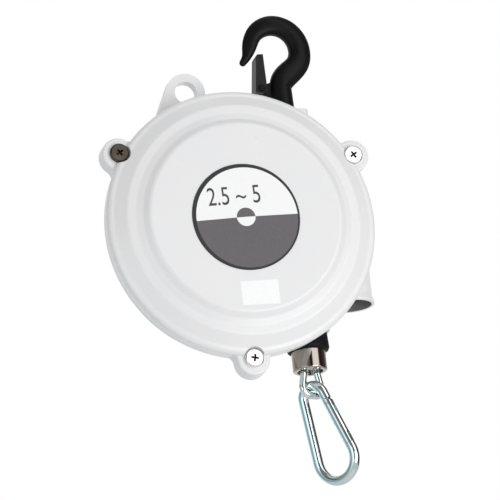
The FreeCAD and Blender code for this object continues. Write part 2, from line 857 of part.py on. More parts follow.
def half_ring(centre, radius, depth, side):
    """Half circle in the XZ plane, above or below the axis."""
    return Part.Arc(
        V(centre + radius, depth, 0), V(centre, depth, side * radius), V(centre - radius, depth, 0)).toShape()


def make_mainspring():
    """Flat spiral strip built from half circles of growing radius."""
    low = wheel_front_y + 1.2
    high = case_back_y - case_wall - 0.8
    inner_r = hub_r + gap + strip_thick / 2.0
    outer_r = case_r - case_wall - strip_thick / 2.0 - running
    step = (outer_r - inner_r) / strip_turns
    halves = []
    for k in range(strip_turns * 2):
        radius = inner_r + step * (k + 0.5) / 2.0
        side = 1 if k % 2 == 0 else -1
        centre = -side * step / 4.0
        outer = half_ring(centre, radius + strip_thick / 2.0, low, side)
        inner = half_ring(centre, radius - strip_thick / 2.0, low, side)
        ends = []
        for first, second in zip(outer.Vertexes, inner.Vertexes):
            ends.append(Part.LineSegment(first.Point, second.Point).toShape())
        face = Part.Face(Part.Wire([outer, ends[1], inner, ends[0]]))
        halves.append(face.extrude(V(0, high - low, 0)))
    return halves[0].multiFuse(halves[1:])


def make_worm():
    """Single-start worm with two journals and a hexagon for the key."""
    root = worm_pitch_r - tooth_module * 1.15
    outer = worm_pitch_r + tooth_module
    half = worm_len / 2.0
    turns = worm_len / module_pitch
    slope = math.tan(math.radians(20.0))
    mid = (module_pitch / 2.0 - worm_play) / 2.0
    top = mid - slope * tooth_module
    bottom = mid + slope * tooth_module * 1.3
    deep = worm_pitch_r - tooth_module * 1.3
    helix = Part.makeHelix(module_pitch, worm_len, worm_pitch_r)
    section = Part.makePolygon([
        V(deep, 0, -bottom), V(outer, 0, -top), V(outer, 0, top), V(deep, 0, bottom),
        V(deep, 0, -bottom)])
    thread = helix.makePipeShell([section], True, True)
    # one space of the wheel faces the worm at rest, so the thread crosses there
    phase = 180.0 - 360.0 * (turns / 2.0 - math.floor(turns / 2.0))
    thread.rotate(V(0, 0, 0), Z_AXIS, phase)
    thread.translate(V(worm_x, wheel_mid_y, -half))
    body = along_z(root, -half - 0.5, half + 0.5, worm_x, wheel_mid_y)
    body = body.fuse(thread)
    ends = along_z(outer + 2, -half, half, worm_x, wheel_mid_y)
    body = body.common(ends)
    neck_top = tunnel_top_z - 1.8
    key_top = worm_bush_z - worm_bush_h - gap
    body = body.fuse(along_z(worm_neck_r, key_top, neck_top, worm_x, wheel_mid_y))
    key = hex_prism(worm_key_af, V(worm_x, wheel_mid_y, key_top - worm_key_h),
                    V(worm_x, wheel_mid_y, key_top))
    return body.fuse(key)


def make_worm_bush():
    low = worm_bush_z - worm_bush_h
    return tube_z(tunnel_bore_r, worm_neck_r + running, low, worm_bush_z, worm_x, wheel_mid_y)


def make_rope_line():
    """Straight rope from the drum down to its ferrule."""
    return along_z(rope_r, ferrule_bottom(), -0.4)


def swivel_ceiling():
    return bumper_bottom_z - swivel_top_wall


def ferrule_bottom():
    return swivel_ceiling() - ferrule_h


def make_bumper():
    top = outlet_z - gap
    body = spun_about_z([
        (rope_r, top), (bumper_r - bumper_draft, top), (bumper_r, bumper_bottom_z + bumper_round),
        (bumper_r - bumper_round * 0.3, bumper_bottom_z + bumper_round * 0.3),
        (bumper_r - bumper_round, bumper_bottom_z), (rope_r, bumper_bottom_z),
    ])
    return body


def make_swivel_collar():
    body = along_z(swivel_r, swivel_bottom_z, bumper_bottom_z)
    low_rim = [edge for edge in body.Edges if abs(edge.CenterOfMass.z - swivel_bottom_z) < 1e-6]
    body = body.makeFillet(swivel_round, low_rim)
    body = body.cut(along_z(swivel_bore_r, swivel_bottom_z + swivel_lip_h, swivel_ceiling()))
    body = body.cut(along_z(swivel_mouth_r, swivel_bottom_z - 1, swivel_ceiling()))
    return body.cut(along_z(rope_r, swivel_bottom_z, 0))


def make_ferrule():
    return tube_z(ferrule_r, rope_r, ferrule_bottom(), swivel_ceiling())


def spindle_low():
    return swivel_bottom_z + swivel_lip_h + running


def bail_place(distance, z):
    turn = math.radians(bail_turn)
    return V(load_x + distance * math.cos(turn), distance * math.sin(turn), z)


def make_spindle():
    low = spindle_low()
    body = along_z(swivel_bore_r - running, low, low + spindle_h)
    for side in (-1, 1):
        foot = bail_place(side * bail_leg, low)
        body = body.cut(cylinder(bail_wire_r, foot - Z_AXIS, foot + Z_AXIS * (spindle_h + 1)))
    return body


def make_bail():
    top = spindle_low() + spindle_h
    knee = swivel_bottom_z - 0.6
    path = rounded_path([
        bail_place(-bail_leg, top), bail_place(-bail_leg, knee),
        bail_place(-bail_half, bail_bottom_z), bail_place(bail_half, bail_bottom_z),
        bail_place(bail_leg, knee), bail_place(bail_leg, top),
    ], bail_corner)
    return wire_along(path, bail_wire_r)


def snap_side():
    """Lean of the straight sides of the pear shape."""
    return math.asin((snap_big_r - snap_small_r) / snap_drop)


def snap_point(centre_z, radius, angle):
    turn = math.radians(angle)
    return V(radius * math.cos(turn), 0, centre_z + radius * math.sin(turn))


def snap_leg(share):
    """Point on the gate side, from the narrow end to the wide end."""
    lean = math.degrees(snap_side())
    top = snap_point(0, snap_small_r, lean)
    low = snap_point(-snap_drop, snap_big_r, lean)
    return top + (low - top) * share


def place_snap(shape):
    """Hang a piece of the snap hook on the bottom of the bail."""
    hang = snap_small_r - snap_wire_r - bail_wire_r - hang_play
    shape.translate(V(0, 0, -hang))
    shape.rotate(V(0, 0, 0), V(1, 0, 0), snap_lean)
    shape.rotate(V(0, 0, 0), Y_AXIS, -snap_tilt)
    shape.rotate(V(0, 0, 0), Z_AXIS, snap_turn)
    shape.translate(V(load_x, 0, bail_bottom_z))
    return shape


def make_snap_hook():
    lean = math.degrees(snap_side())
    hinge = snap_leg(gate_hinge_at)
    nose = snap_leg(gate_nose_at)
    down = (nose - hinge).normalize()
    hinge_end = hinge - down * (snap_wire_r + gap)
    edges = [
        Part.LineSegment(hinge_end, snap_leg(0)).toShape(),
        Part.Arc(snap_leg(0), snap_point(0, snap_small_r, 90), snap_point(0, snap_small_r, 180 - lean)).toShape(),
        Part.LineSegment(snap_point(0, snap_small_r, 180 - lean),
                         snap_point(-snap_drop, snap_big_r, 180 - lean)).toShape(),
        Part.Arc(snap_point(-snap_drop, snap_big_r, 180 - lean), snap_point(-snap_drop, snap_big_r, 270),
                 snap_leg(1)).toShape(),
        Part.LineSegment(snap_leg(1), nose).toShape(),
    ]
    body = wire_along(Part.Wire(edges), snap_wire_r)
    body = body.fuse(snap_tongue(hinge_end + down * -1, down, hinge.sub(hinge_end).Length + 2.6))
    body = body.fuse(snap_tongue(nose + down, down * -1, tongue_len + 1))
    body = body.cut(cylinder(gate_pin_r, hinge - Y_AXIS * 5, hinge + Y_AXIS * 5))
    return place_snap(body)


def snap_tongue(start, direction, length):
    """Flat tongue in the plane of the hook, inside the gate's slot."""
    across = direction.cross(Y_AXIS).normalize() * (snap_wire_r - 0.9)
    corners = [start + across, start - across, start - across + direction * length,
               start + across + direction * length]
    face = Part.Face(Part.makePolygon(corners + [corners[0]]))
    face.translate(Y_AXIS * -tongue_half)
    return face.extrude(Y_AXIS * tongue_half * 2)


def make_gate():
    hinge = snap_leg(gate_hinge_at)
    nose = snap_leg(gate_nose_at)
    down = (nose - hinge).normalize()
    tip = nose - down * gap
    body = cylinder(snap_wire_r, hinge, tip)
    round_end = cylinder(snap_wire_r, hinge - Y_AXIS * 6, hinge + Y_AXIS * 6)
    round_end = round_end.common(cylinder(snap_wire_r, hinge - down * 6, hinge + down * 6))
    body = body.fuse(round_end)
    slot = tongue_half + 0.25
    for start, direction, length in ((hinge - down * 6, down, 12.5), (tip + down, down * -1, tongue_len + 2)):
        across = direction.cross(Y_AXIS).normalize() * 5
        corners = [start + across, start - across, start - across + direction * length,
                   start + across + direction * length]
        face = Part.Face(Part.makePolygon(corners + [corners[0]]))
        face.translate(Y_AXIS * -slot)
        body = body.cut(face.extrude(Y_AXIS * slot * 2))
    body = body.cut(cylinder(gate_pin_r + running, hinge - Y_AXIS * 5, hinge + Y_AXIS * 5))
    return place_snap(body)


def make_gate_pin():
    hinge = snap_leg(gate_hinge_at)
    half = snap_wire_r + 0.15
    return place_snap(cylinder(gate_pin_r, hinge - Y_AXIS * half, hinge + Y_AXIS * half))


def build():
    places = list(screw_places())
    right, left, bottom = [cover_screw(x, z) for x, z in places]
    return {
        "rear_housing": make_rear_housing(),
        "front_cover": make_front_cover(),
        "dial_plate": make_dial_plate(),
        "cover_screws": Part.Compound([right, bottom]),
        "cover_screw_black": left,
        "main_shaft": make_main_shaft(),
        "shaft_circlips": make_circlips(),
        "shaft_washer": make_shaft_washer(),
        "shaft_nut": make_shaft_nut(),
        "hook_bush": make_hook_bush(),
        "rope_guide": make_rope_guide(),
        "worm_bush": make_worm_bush(),
        "top_hook": make_hook(),
        "hook_washer": make_hook_washer(),
        "hook_nut": make_hook_nut(),
        "hook_split_pin": make_split_pin(),
        "latch_pin": make_latch_pin(),
        "latch_spring": make_latch_spring(),
        "hook_latch": make_latch(),
        "spring_case": make_spring_case(),
        "case_bush": make_case_bush(),
        "case_lid": make_case_lid(),
        "lid_screws": make_lid_screws(),
        "mainspring": make_mainspring(),
        "adjusting_worm": make_worm(),
        "rope_drum": make_drum(),
        "drum_bushes": make_drum_bushes(),
        "rope_winding": make_rope_winding(),
        "rope_line": make_rope_line(),
        "rubber_bumper": make_bumper(),
        "swivel_collar": make_swivel_collar(),
        "rope_ferrule": make_ferrule(),
        "swivel_spindle": make_spindle(),
        "wire_bail": make_bail(),
        "snap_hook": make_snap_hook(),
        "gate_pin": make_gate_pin(),
        "snap_gate": make_gate(),
    }


def main():
    os.makedirs("parts", exist_ok=True)
    for name, shape in build().items():
        shape.translate(seat * -1)
        shape.exportStep("parts/" + name + ".step")
        print(name, len(shape.Solids), round(shape.Volume / 1000.0, 2), "cm3", shape.isValid())


main()
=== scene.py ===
import bmesh
import bpy
import math
from mathutils import Matrix, Vector


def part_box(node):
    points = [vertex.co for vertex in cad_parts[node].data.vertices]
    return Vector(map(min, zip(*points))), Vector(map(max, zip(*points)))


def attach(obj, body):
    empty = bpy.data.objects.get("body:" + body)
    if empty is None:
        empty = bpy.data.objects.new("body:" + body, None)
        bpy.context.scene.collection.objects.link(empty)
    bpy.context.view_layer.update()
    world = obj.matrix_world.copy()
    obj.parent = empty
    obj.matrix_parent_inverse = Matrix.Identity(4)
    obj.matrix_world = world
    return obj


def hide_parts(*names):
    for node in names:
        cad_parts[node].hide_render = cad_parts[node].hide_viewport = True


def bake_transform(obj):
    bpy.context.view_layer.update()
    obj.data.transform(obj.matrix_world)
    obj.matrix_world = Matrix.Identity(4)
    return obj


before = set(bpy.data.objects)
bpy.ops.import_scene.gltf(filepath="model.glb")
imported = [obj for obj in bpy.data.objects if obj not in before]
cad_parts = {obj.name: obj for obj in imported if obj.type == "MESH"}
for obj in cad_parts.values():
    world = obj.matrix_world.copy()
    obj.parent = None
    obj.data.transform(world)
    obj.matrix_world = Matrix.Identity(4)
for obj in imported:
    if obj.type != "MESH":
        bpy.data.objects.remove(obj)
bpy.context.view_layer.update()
print("frame loaded:", len(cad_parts), "nodes")


def mm(value):
    return value / 1000.0


def colour(code):  # sRGB hex to the linear values that the shaders take
    parts = [int(code[i:i + 2], 16) / 255.0 for i in (0, 2, 4)]
    linear = [p / 12.92 if p <= 0.04045 else ((p + 0.055) / 1.055) ** 2.4 for p in parts]
    return (*linear, 1.0)


def addNode(tree, kind, inputs=None, **settings):
    node = tree.nodes.new(kind)
    for name, value in settings.items():
        setattr(node, name, value)
    for name, value in (inputs or {}).items():
        socket = node.inputs[name]
        if isinstance(value, bpy.types.NodeSocket):
            tree.links.new(value, socket)
        else:
            socket.default_value = value
    return node


def beginMaterial(name, metallic, roughness, ior=None):
    material = bpy.data.materials.new(name)
    material.use_nodes = True
    tree = material.node_tree
    tree.nodes.clear()
    shader = addNode(tree, "ShaderNodeBsdfPrincipled", {"Metallic": metallic, "Roughness": roughness})
    if ior:
        shader.inputs["IOR"].default_value = ior
    addNode(tree, "ShaderNodeOutputMaterial", {"Surface": shader.outputs["BSDF"]})
    place = addNode(tree, "ShaderNodeTexCoord").outputs["Object"]
    return material, tree, shader, place


def wear(material, *names):
    for name in names:
        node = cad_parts[name]
        node.data.materials.clear()
        node.data.materials.append(material)


# the dial plate's seat on the cover is the middle of the object
plateLow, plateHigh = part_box("dial_plate")
middle = Vector(((plateLow.x + plateHigh.x) / 2, plateHigh.y, (plateLow.z + plateHigh.z) / 2))

studio = {
    "azimuth": 15.0,          # degrees to the left of the dial's axis
    "elevation": 16.0,        # degrees below it
    "roll": 6.0,
    "distance": 12.0,
    "frameWidth": 0.2703,      # metres seen across the frame at the dial
    "aim": (0.00214, -0.01785),  # from the middle of the dial, across and up the frame
    "sensor": 36.0,
    "nearest": 0.05,
    "keySide": Vector((0.45, -1.0, -0.35)),  # where the key light stands, from the dial
    "keyDistance": 1.6,
    "keySize": 1.0,
    "keyPower": 10.6,
    "ambient": 0.685,
    "ambientShade": "FAFBFC",
    "cards": 1.6,             # strength of the room that metal shows
    "cardsRise": (0.12, 0.2),  # its lower cards give way to the upper ones here, in sines of the height
    "floorHeight": -1.75,
    "floorRadius": 4.0,
    "floorSteps": 96,
    "floorGrain": 60.0,
    "floorRoughness": 0.8,
    "floorShades": ("F3F3F3", "F6F6F6"),
}

# the room all round, from the left of the set through the camera's side to the right and the back
roomLow = [(0.0, "6A8084"), (0.04, "86A4A8"), (0.1, "DCE4E4"), (0.165, "E4EAEA"), (0.195, "2C2036"),
           (0.285, "162C32"), (0.305, "FFFFFF"), (0.41, "FFFFFF"), (0.435, "3A2034"), (0.54, "1A1018"),
           (0.6, "7A8A8A"), (0.7, "CFCFCF"), (0.82, "BCC8C8"), (0.95, "6C8488")]
roomHigh = [(0.0, "545048"), (0.034, "58544E"), (0.066, "4A4842"), (0.1, "686260"), (0.208, "6C6464"),
            (0.238, "1C1A1A"), (0.268, "282C2A"), (0.284, "FFFFFF"), (0.385, "FFFFFF"), (0.405, "4A2430"),
            (0.44, "241C1A"), (0.55, "484440"), (0.6, "94908C"), (0.7, "CFCFCF"), (0.8, "BEBEBE"),
            (0.92, "74746F")]


def placeCamera():
    turn, lift, roll = (math.radians(studio[k]) for k in ("azimuth", "elevation", "roll"))
    forward = Vector((math.sin(turn) * math.cos(lift), math.cos(turn) * math.cos(lift), math.sin(lift)))
    level = Vector((math.cos(turn), -math.sin(turn), 0))
    upright = level.cross(forward)
    across = level * math.cos(roll) - upright * math.sin(roll)
    up = level * math.sin(roll) + upright * math.cos(roll)
    target = middle + across * studio["aim"][0] + up * studio["aim"][1]
    data = bpy.data.cameras.new("camera")
    data.sensor_width = studio["sensor"]
    data.lens = studio["sensor"] * studio["distance"] / studio["frameWidth"]
    data.clip_start = studio["nearest"]
    camera = bpy.data.objects.new("camera", data)
    turned = Matrix((across, up, -forward)).transposed().to_4x4()
    camera.matrix_world = Matrix.Translation(target - forward * studio["distance"]) @ turned
    bpy.context.scene.collection.objects.link(camera)
    bpy.context.scene.camera = camera


def lightStudio():
    data = bpy.data.lights.new("keyBox", "AREA")
    data.size = studio["keySize"]
    data.energy = studio["keyPower"]
    lamp = bpy.data.objects.new("keyBox", data)
    side = studio["keySide"].normalized()
    lamp.location = middle + side * studio["keyDistance"]
    lamp.rotation_euler = (-side).to_track_quat("-Z", "Y").to_euler()
    bpy.context.scene.collection.objects.link(lamp)

    world = bpy.data.worlds.new("studioWorld")
    bpy.context.scene.world = world
    world.use_nodes = True
    tree = world.node_tree
    tree.nodes.clear()
    rays = addNode(tree, "ShaderNodeLightPath").outputs
    direction = addNode(tree, "ShaderNodeTexCoord").outputs["Generated"]
    around = addNode(tree, "ShaderNodeTexGradient", {"Vector": direction}, gradient_type="RADIAL")
    # the white room as metal shows it, with grey and black cards stood in it to draw the wires' dark lines
    bands = []
    for stops in (roomLow, roomHigh):
        ramp = addNode(tree, "ShaderNodeValToRGB", {"Fac": around.outputs["Fac"]})
        while len(ramp.color_ramp.elements) < len(stops):
            ramp.color_ramp.elements.new(0.5)
        for element, (position, code) in zip(ramp.color_ramp.elements, stops):
            element.position = position
            element.color = colour(code)
        bands.append(ramp.outputs["Color"])
    height = addNode(tree, "ShaderNodeSeparateXYZ", {"Vector": direction}).outputs["Z"]
    low, high = studio["cardsRise"]
    rise = addNode(tree, "ShaderNodeMapRange", {"Value": height, "From Min": low, "From Max": high})
    room = addNode(tree, "ShaderNodeMix", {
        "Factor": rise.outputs["Result"], "A": bands[0], "B": bands[1]}, data_type="RGBA")
    ambient = addNode(tree, "ShaderNodeBackground", {
        "Color": colour(studio["ambientShade"]), "Strength": studio["ambient"]}).outputs[0]
    cards = addNode(tree, "ShaderNodeBackground", {
        "Color": room.outputs["Result"], "Strength": studio["cards"]}).outputs[0]
    white = addNode(tree, "ShaderNodeBackground", {"Color": (1, 1, 1, 1), "Strength": 1.0}).outputs[0]
    seen = ambient
    for ray, shade in (("Is Glossy Ray", cards), ("Is Transmission Ray", white), ("Is Camera Ray", white)):
        seen = addNode(tree, "ShaderNodeMixShader", {"Fac": rays[ray], 1: seen, 2: shade}).outputs[0]
    addNode(tree, "ShaderNodeOutputWorld", {"Surface": seen})
    bpy.context.scene.view_settings.view_transform = "Standard"


def layFloor():
    mesh = bpy.data.meshes.new("floor")
    shape = bmesh.new()
    bmesh.ops.create_circle(shape, cap_ends=True, radius=studio["floorRadius"],
                             segments=studio["floorSteps"])
    bmesh.ops.translate(shape, verts=shape.verts, vec=(0, 0, studio["floorHeight"]))
    shape.to_mesh(mesh)
    shape.free()
    floor = bpy.data.objects.new("floor", mesh)
    bpy.context.scene.collection.objects.link(floor)
    material, tree, shader, place = beginMaterial("paleFloor", 0.0, studio["floorRoughness"])
    grain = addNode(tree, "ShaderNodeTexNoise", {"Vector": place, "Scale": studio["floorGrain"]})
    light, dark = studio["floorShades"]
    shade = addNode(tree, "ShaderNodeMix", {
        "Factor": grain.outputs["Fac"], "A": colour(light), "B": colour(dark)}, data_type="RGBA")
    tree.links.new(shade.outputs["Result"], shader.inputs["Base Color"])
    mesh.materials.append(material)


placeCamera()
lightStudio()
layFloor()
print("camera, lights and floor set")


wormLow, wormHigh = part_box("adjusting_worm")
bore = {
    "axis": ((wormLow.x + wormHigh.x) / 2, (wormLow.y + wormHigh.y) / 2),
    "radius": mm(11.7),
    "top": mm(-99.0),
    # dark grey inside the bore: partly bare metal, partly painted shade of the tunnel
    "shade": "6E6D6E",
}

# stoving enamel sprayed on die-cast aluminium: soft gloss with a faint orange peel
enamelLook = {
    "roughness": 0.3,
    "ior": 1.5,
    "shades": ("E9E9EA", "EFEEEE"),
    "driftSize": mm(35),
    "patchSize": mm(9),
    "polish": (0.24, 0.36),
    "peelSize": mm(1.4),
    "peelDepth": mm(0.03),
    "peelStrength": 0.25,
}

# drop forging under satin black paint: the scale below leaves shallow dimples
forgingLook = {
    "roughness": 0.4,
    "ior": 1.5,
    "specular": 0.13,
    "shades": ("0D0D0E", "171718"),
    "driftSize": mm(6),
    "driftDetail": 4.0,
    "polish": (0.34, 0.5),
    "grainSize": mm(1.6),
    "grainDetail": 3.0,
    "grainDepth": mm(0.08),
    "grainStrength": 0.5,
}

# pressed steel sheet, electro-coated black: even and slightly greyer than the forging
sheetLook = {
    "roughness": 0.36,
    "ior": 1.5,
    "specular": 0.13,
    "shades": ("202021", "2C2C2E"),
    "driftSize": mm(3),
    "driftDetail": 3.0,
    "grainSize": mm(0.5),
    "grainDetail": 2.0,
    "grainDepth": mm(0.02),
    "grainStrength": 0.3,
}

# moulded black rubber: nearly matt, with a dusty bloom in places
rubberLook = {
    "roughness": 0.6,
    "ior": 1.52,
    "specular": 0.13,
    "shades": ("0C0C11", "16151C"),
    "driftSize": mm(5),
    "driftDetail": 5.0,
    "grainSize": mm(0.4),
    "grainDetail": 2.0,
    "grainDepth": mm(0.03),
    "grainStrength": 0.4,
}

# injection-moulded nylon: fine spark-eroded texture, low gloss
nylonLook = {
    "roughness": 0.5,
    "ior": 1.53,
    "shades": ("1A1A1B", "242426"),
    "driftSize": mm(4),
    "driftDetail": 3.0,
    "grainSize": mm(0.3),
    "grainDetail": 2.0,
    "grainDepth": mm(0.02),
    "grainStrength": 0.4,
}

metalLook = {
    "driftSize": mm(8),
    "polishSpread": (0.75, 1.3),  # least and most roughness, as shares of the metal's own
    "grainStrength": 0.4,
}


def bakedEnamel(look):
    material, tree, shader, place = beginMaterial("bakedWhiteEnamel", 0.0, look["roughness"], look["ior"])
    drift = addNode(tree, "ShaderNodeTexNoise", {
        "Vector": place, "Scale": 1 / look["driftSize"], "Detail": 3.0})
    first, second = look["shades"]
    paint = addNode(tree, "ShaderNodeMix", {
        "Factor": drift.outputs["Fac"], "A": colour(first), "B": colour(second)}, data_type="RGBA")
    # the machined bore of the adjuster's tunnel is coloured dark grey: partly its bare metal, partly painted
    # shade inside the tunnel
    flat = addNode(tree, "ShaderNodeVectorMath", {0: place, 1: (1, 1, 0)}, operation="MULTIPLY")
    away = addNode(tree, "ShaderNodeVectorMath", {0: flat.outputs[0], 1: (*bore["axis"], 0)},
                   operation="DISTANCE")
    inside = addNode(tree, "ShaderNodeMath", {0: away.outputs["Value"], 1: bore["radius"]},
                     operation="LESS_THAN")
    height = addNode(tree, "ShaderNodeSeparateXYZ", {"Vector": place}).outputs["Z"]
    below = addNode(tree, "ShaderNodeMath", {0: height, 1: bore["top"]}, operation="LESS_THAN")
    inShadedBore = addNode(tree, "ShaderNodeMath", {0: inside.outputs[0], 1: below.outputs[0]},
                     operation="MULTIPLY")
    boreShadeAndBareMetal = addNode(tree, "ShaderNodeMix", {
        "Factor": inShadedBore.outputs[0], "A": paint.outputs["Result"], "B": colour(bore["shade"])},
        data_type="RGBA")
    tree.links.new(boreShadeAndBareMetal.outputs["Result"], shader.inputs["Base Color"])
    patch = addNode(tree, "ShaderNodeTexNoise", {
        "Vector": place, "Scale": 1 / look["patchSize"], "Detail": 2.0})
    least, most = look["polish"]
    gloss = addNode(tree, "ShaderNodeMapRange", {
        "Value": patch.outputs["Fac"], "To Min": least, "To Max": most})
    tree.links.new(gloss.outputs["Result"], shader.inputs["Roughness"])
    peel = addNode(tree, "ShaderNodeTexNoise", {
        "Vector": place, "Scale": 1 / look["peelSize"], "Detail": 2.0})
    bump = addNode(tree, "ShaderNodeBump", {
        "Height": peel.outputs["Fac"], "Strength": look["peelStrength"], "Distance": look["peelDepth"]})
    tree.links.new(bump.outputs["Normal"], shader.inputs["Normal"])
    return material


def coating(name, look):
    # paint, nylon or rubber: two close shades that drift over the piece, and a grain in its skin
    material, tree, shader, place = beginMaterial(name, 0.0, look["roughness"], look["ior"])
    if "specular" in look:
        shader.inputs["Specular IOR Level"].default_value = look["specular"]
    drift = addNode(tree, "ShaderNodeTexNoise", {
        "Vector": place, "Scale": 1 / look["driftSize"], "Detail": look["driftDetail"]})
    first, second = look["shades"]
    shade = addNode(tree, "ShaderNodeMix", {
        "Factor": drift.outputs["Fac"], "A": colour(first), "B": colour(second)}, data_type="RGBA")
    tree.links.new(shade.outputs["Result"], shader.inputs["Base Color"])
    if "polish" in look:
        least, most = look["polish"]
        gloss = addNode(tree, "ShaderNodeMapRange", {
            "Value": drift.outputs["Fac"], "To Min": least, "To Max": most})
        tree.links.new(gloss.outputs["Result"], shader.inputs["Roughness"])
    grain = addNode(tree, "ShaderNodeTexNoise", {
        "Vector": place, "Scale": 1 / look["grainSize"], "Detail": look["grainDetail"]})
    bump = addNode(tree, "ShaderNodeBump", {
        "Height": grain.outputs["Fac"], "Strength": look["grainStrength"], "Distance": look["grainDepth"]})
    tree.links.new(bump.outputs["Normal"], shader.inputs["Normal"])
    return material


def metal(name, first, second, roughness, grainSize, grainDepth, stretch=(1.0, 1.0, 1.0)):
    # plain metals: two close shades, a varying polish and fine grain, stretched where a tool drew it out
    material, tree, shader, place = beginMaterial(name, 1.0, roughness)
    drawn = addNode(tree, "ShaderNodeMapping", {"Vector": place, "Scale": stretch}).outputs["Vector"]
    drift = addNode(tree, "ShaderNodeTexNoise", {
        "Vector": place, "Scale": 1 / metalLook["driftSize"], "Detail": 4.0})
    shade = addNode(tree, "ShaderNodeMix", {
        "Factor": drift.outputs["Fac"], "A": colour(first), "B": colour(second)}, data_type="RGBA")
    tree.links.new(shade.outputs["Result"], shader.inputs["Base Color"])
    grain = addNode(tree, "ShaderNodeTexNoise", {"Vector": drawn, "Scale": 1 / grainSize, "Detail": 3.0})
    least, most = metalLook["polishSpread"]
    polish = addNode(tree, "ShaderNodeMapRange", {
        "Value": grain.outputs["Fac"], "To Min": roughness * least, "To Max": roughness * most})
    tree.links.new(polish.outputs["Result"], shader.inputs["Roughness"])
    bump = addNode(tree, "ShaderNodeBump", {
        "Height": grain.outputs["Fac"], "Strength": metalLook["grainStrength"], "Distance": grainDepth})
    tree.links.new(bump.outputs["Normal"], shader.inputs["Normal"])
    return material


enamel = bakedEnamel(enamelLook)
forging = coating("blackPaintedForging", forgingLook)
sheetBlack = coating("blackCoatedSheet", sheetLook)
rubber = coating("mouldedRubber", rubberLook)

# plated drawn wire, a mirror that bends the cards of the room into long lines
zincWire = metal("brightZincWire", "E8F0F0", "DCE8E8",
                 roughness=0.085, grainSize=mm(0.8), grainDepth=mm(0.0004))
# plating over a turned cup: warm, sharp reflections with faint rings
nickel = metal("polishedNickel", "B6AEA6", "A69E96",
               roughness=0.08, grainSize=mm(0.3), grainDepth=mm(0.0008), stretch=(0.15, 0.15, 1.0))
# cold-headed screws: bright plating that blurs what it shows, and black oxide with glints of worn steel
brightScrew = metal("nickelScrew", "F8F6F4", "F0EEEC",
                    roughness=0.22, grainSize=mm(0.8), grainDepth=mm(0.002))
blackScrew = metal("blackOxideScrew", "6A6058", "100C0C",
                   roughness=0.24, grainSize=mm(0.9), grainDepth=mm(0.04))
# half-dull bluish plating on nuts, washers, the split pin and the spring case's lid
zincSteel = metal("zincPlatedSteel", "C4C8CC", "AEB3B8",
                  roughness=0.3, grainSize=mm(0.5), grainDepth=mm(0.006))
# strip, wire and clips of spring steel, blued by their heat treatment
springSteel = metal("bluedSpringSteel", "6E747E", "555B66",
                    roughness=0.3, grainSize=mm(0.4), grainDepth=mm(0.004), stretch=(1.0, 0.1, 1.0))
# bare steel with the fine marks of the lathe
turnedSteel = metal("turnedSteel", "B4B4B8", "9A9A9E",
                    roughness=0.28, grainSize=mm(0.2), grainDepth=mm(0.006), stretch=(0.2, 1.0, 0.2))
# pressed and sintered powder: brown-gold, dull and open-grained
bronze = metal("sinteredBronze", "B0885A", "94704A",
               roughness=0.42, grainSize=mm(0.25), grainDepth=mm(0.02))
# aluminium as it leaves the die, and a little smoother where a cutter has been
castAluminium = metal("dieCastAluminium", "B6B7BA", "9EA0A3",
                      roughness=0.45, grainSize=mm(0.9), grainDepth=mm(0.03))
wheelCasting = metal("machinedCasting", "A8A9AC", "909194",
                     roughness=0.38, grainSize=mm(0.7), grainDepth=mm(0.02))
# hot-dip zinc on rope wire: mid grey, half dull
ropeWire = metal("galvanisedWire", "A2A4A8", "7E8084",
                 roughness=0.35, grainSize=mm(0.2), grainDepth=mm(0.01))
nylon = coating("mouldedNylon", nylonLook)

wear(enamel, "front_cover", "rear_housing")
wear(forging, "top_hook", "latch_pin")
wear(sheetBlack, "hook_latch")
wear(rubber, "rubber_bumper")
wear(zincWire, "wire_bail", "snap_hook", "snap_gate", "gate_pin")
wear(nickel, "swivel_collar")
wear(zincSteel, "hook_washer", "hook_nut", "hook_split_pin", "shaft_washer", "shaft_nut", "case_lid",
     "lid_screws")
wear(springSteel, "latch_spring", "shaft_circlips", "mainspring")
wear(turnedSteel, "main_shaft", "adjusting_worm", "swivel_spindle")
wear(bronze, "hook_bush", "worm_bush", "case_bush", "drum_bushes")
wear(castAluminium, "rope_drum", "rope_ferrule")
wear(wheelCasting, "spring_case")
wear(ropeWire, "rope_winding")
wear(nylon, "rope_guide")
print("finishes made")


dial = {
    "radius": mm(30.0),
    "thickness": mm(0.36),
    "edgeRound": mm(0.12),
    "printRadius": mm(28.3),
    "printAndShadowShift": (mm(0.55), mm(-0.35)),  # the print ring sits off the plate's centre, widening the black border on the left: partly print, partly painted shadow of the recess wall
    "hubRadius": mm(5.2),
    "tilt": math.radians(2.5),
    "steps": 96,
    "numbers": "2.5 ~ 5",
    "numbersAt": (mm(-20.2), mm(6.6)),    # left end of the base line
    "numbersWide": mm(29.4),
    "numbersHigh": mm(10.2),
    "inkThick": mm(0.04),
    "weld": mm(0.005),
}
sticker = {
    "size": (mm(21.0), mm(13.5)),
    "at": (mm(3.6), mm(-42.7)),
    "thickness": mm(0.1),
    "cornerRound": mm(0.5),
    "cornerSteps": 4,
    "tilt": math.radians(1.2),
}
printLook = {
    "ior": 1.5,
    "mottleSize": mm(1.2),
    "polishSpread": (0.8, 1.25),
}


def printedFilm(name, first, second, roughness):
    # screen-printed polyester film: even ink with a faint mottle, half gloss
    material, tree, shader, place = beginMaterial(name, 0.0, roughness, printLook["ior"])
    mottle = addNode(tree, "ShaderNodeTexNoise", {
        "Vector": place, "Scale": 1 / printLook["mottleSize"], "Detail": 4.0})
    ink = addNode(tree, "ShaderNodeMix", {
        "Factor": mottle.outputs["Fac"], "A": colour(first), "B": colour(second)}, data_type="RGBA")
    tree.links.new(ink.outputs["Result"], shader.inputs["Base Color"])
    least, most = printLook["polishSpread"]
    gloss = addNode(tree, "ShaderNodeMapRange", {
        "Value": mottle.outputs["Fac"], "To Min": roughness * least, "To Max": roughness * most})
    tree.links.new(gloss.outputs["Result"], shader.inputs["Roughness"])
    return material


def onFace(x, height, z):  # from the dial's own plane, its height towards the viewer, to the frame
    return middle + Vector((x, -height, z))


